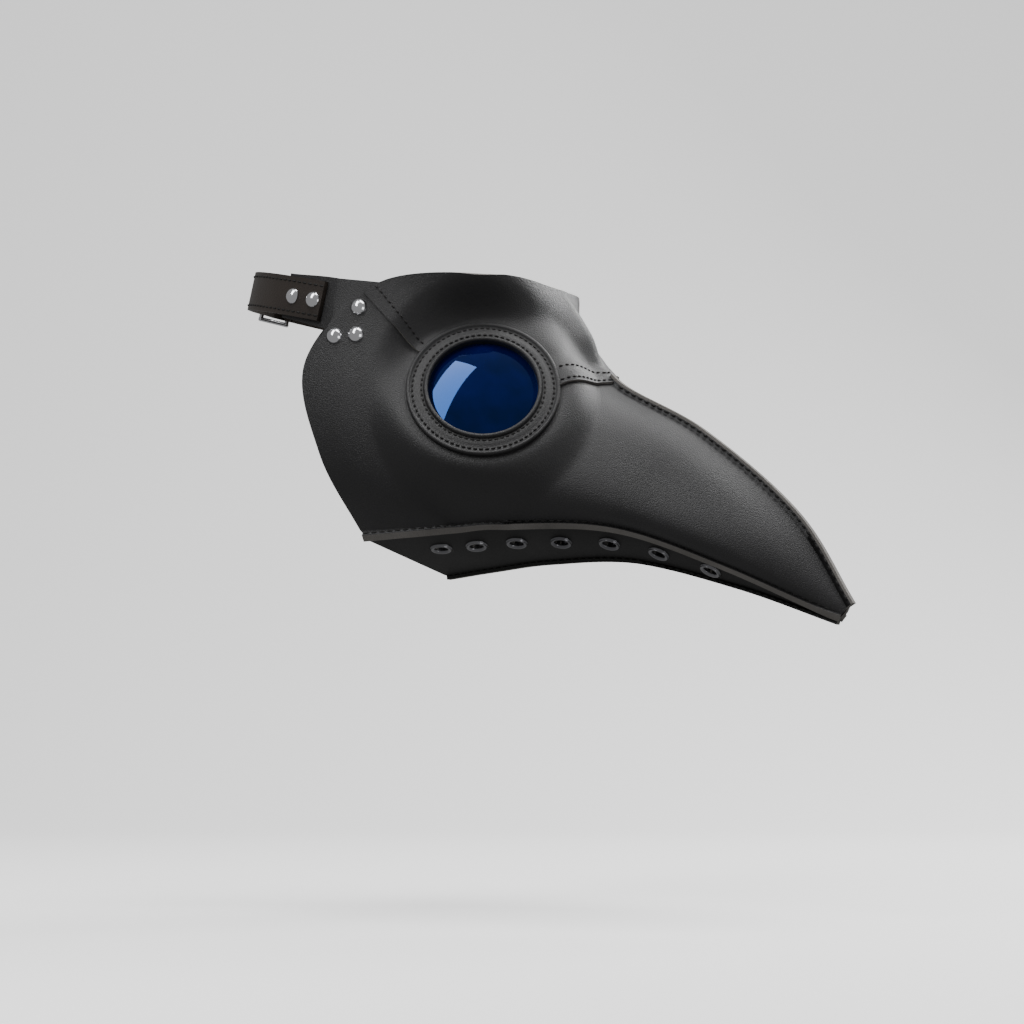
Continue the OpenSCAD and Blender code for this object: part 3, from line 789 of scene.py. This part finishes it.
# %% Studio
def sweep(depth, width, floor_z, curve):
    """Floor and back wall in one sheet, joined by a quarter round."""
    bend = [(depth - curve + curve * math.sin(a), floor_z + curve - curve * math.cos(a))
            for a in np.linspace(0, math.pi / 2, 16)]
    profile = [(-1.6, floor_z)] + bend + [(depth, floor_z + 3)]
    points = [(x, y, z) for y, z in profile for x in (-width, width)]
    faces = [(2 * k, 2 * k + 1, 2 * k + 3, 2 * k + 2) for k in range(len(profile) - 1)]
    mesh = bpy.data.meshes.new("sweep")
    mesh.from_pydata(points, [], faces)
    for face in mesh.polygons:
        face.use_smooth = True
    return mesh


VIEW_TURN, VIEW_TILT = math.radians(28), math.radians(-5)
TOWARDS = np.array([math.sin(VIEW_TURN) * math.cos(VIEW_TILT), -math.cos(VIEW_TURN) * math.cos(VIEW_TILT),
                    math.sin(VIEW_TILT)])
ACROSS = np.array([math.cos(VIEW_TURN), math.sin(VIEW_TURN), 0.0])
UPWARDS = np.cross(TOWARDS, ACROSS)
backdrop = link(sweep(1.6, 4.0, -0.24, 0.8), "backdrop")
backdrop.rotation_euler = (0, 0, VIEW_TURN)
white = bpy.data.materials.new("pale floor")
white.use_nodes = True
paper = next(n for n in white.node_tree.nodes if n.type == "BSDF_PRINCIPLED")
paper.inputs["Base Color"].default_value = (0.86, 0.86, 0.86, 1)
paper.inputs["Roughness"].default_value = 0.7
paper.inputs["Emission Color"].default_value = (1, 1, 1, 1)
paper.inputs["Emission Strength"].default_value = 0.5
backdrop.data.materials.append(white)
backdrop.visible_diffuse = False
backdrop.visible_glossy = False


def area_light(name, at, aim, size, power, tall=None):
    data = bpy.data.lights.new(name, "AREA")
    data.energy, data.size = power, size
    if tall:
        data.shape, data.size_y = "RECTANGLE", tall
    lamp = bpy.data.objects.new(name, data)
    bpy.context.scene.collection.objects.link(lamp)
    lamp.location = Vector(at)
    lamp.rotation_euler = (Vector(aim) - Vector(at)).to_track_quat("-Z", "Y").to_euler()
    return lamp


TARGET = BRIDGE * MM + ACROSS * -0.0535 + UPWARDS * -0.067
key_at = TARGET - TOWARDS * 0.1 + UPWARDS * 1.3 + ACROSS * 0.5
overhead = area_light("overhead", key_at, TARGET, 1.0, 24)
lenses = bpy.data.collections.new("lenses the overhead light leaves out")
for word in ("right", "left"):
    lenses.objects.link(bpy.data.objects[f"lens_dome_{word}"])
for entry in lenses.collection_objects:
    entry.light_linking.link_state = "EXCLUDE"
overhead.light_linking.receiver_collection = lenses
area_light("front fill", TARGET + TOWARDS * 1.1 + ACROSS * 1.3 - UPWARDS * 0.2, TARGET, 0.8, 5)
area_light("rim", TARGET - TOWARDS * 0.8 + ACROSS * 0.9 + UPWARDS * 0.7, TARGET, 0.6, 16)
spot_on_lens = EYE_CENTRE * MM - ACROSS * 0.018
tilted = EYE_AXIS + unit(-ACROSS - EYE_AXIS * (-ACROSS @ EYE_AXIS)) * 0.27
tilted = unit(tilted)
mirror_way = 2 * (tilted @ TOWARDS) * tilted - TOWARDS
area_light("tall softbox", spot_on_lens + unit(mirror_way) * 0.9, spot_on_lens, 0.28, 7, 0.9)
world = bpy.context.scene.world or bpy.data.worlds.new("studio")
bpy.context.scene.world = world
world.use_nodes = True
world.node_tree.nodes["Background"].inputs["Color"].default_value = (1, 1, 1, 1)
world.node_tree.nodes["Background"].inputs["Strength"].default_value = 0.34
print("softbox direction:", mirror_way.round(2))

# %% [markdown]
# The camera looks at the mask from its right and a little below.

# %% Camera
camera_data = bpy.data.cameras.new("camera")
camera_data.lens, camera_data.sensor_width = 84, 36
camera_data.dof.use_dof = False
camera = bpy.data.objects.new("camera", camera_data)
bpy.context.scene.collection.objects.link(camera)
camera.location = Vector(TARGET + TOWARDS * 1.2)
camera.rotation_euler = Vector(-TOWARDS).to_track_quat("-Z", "Y").to_euler()
bpy.context.scene.camera = camera
print("camera at", [round(v, 3) for v in camera.location])
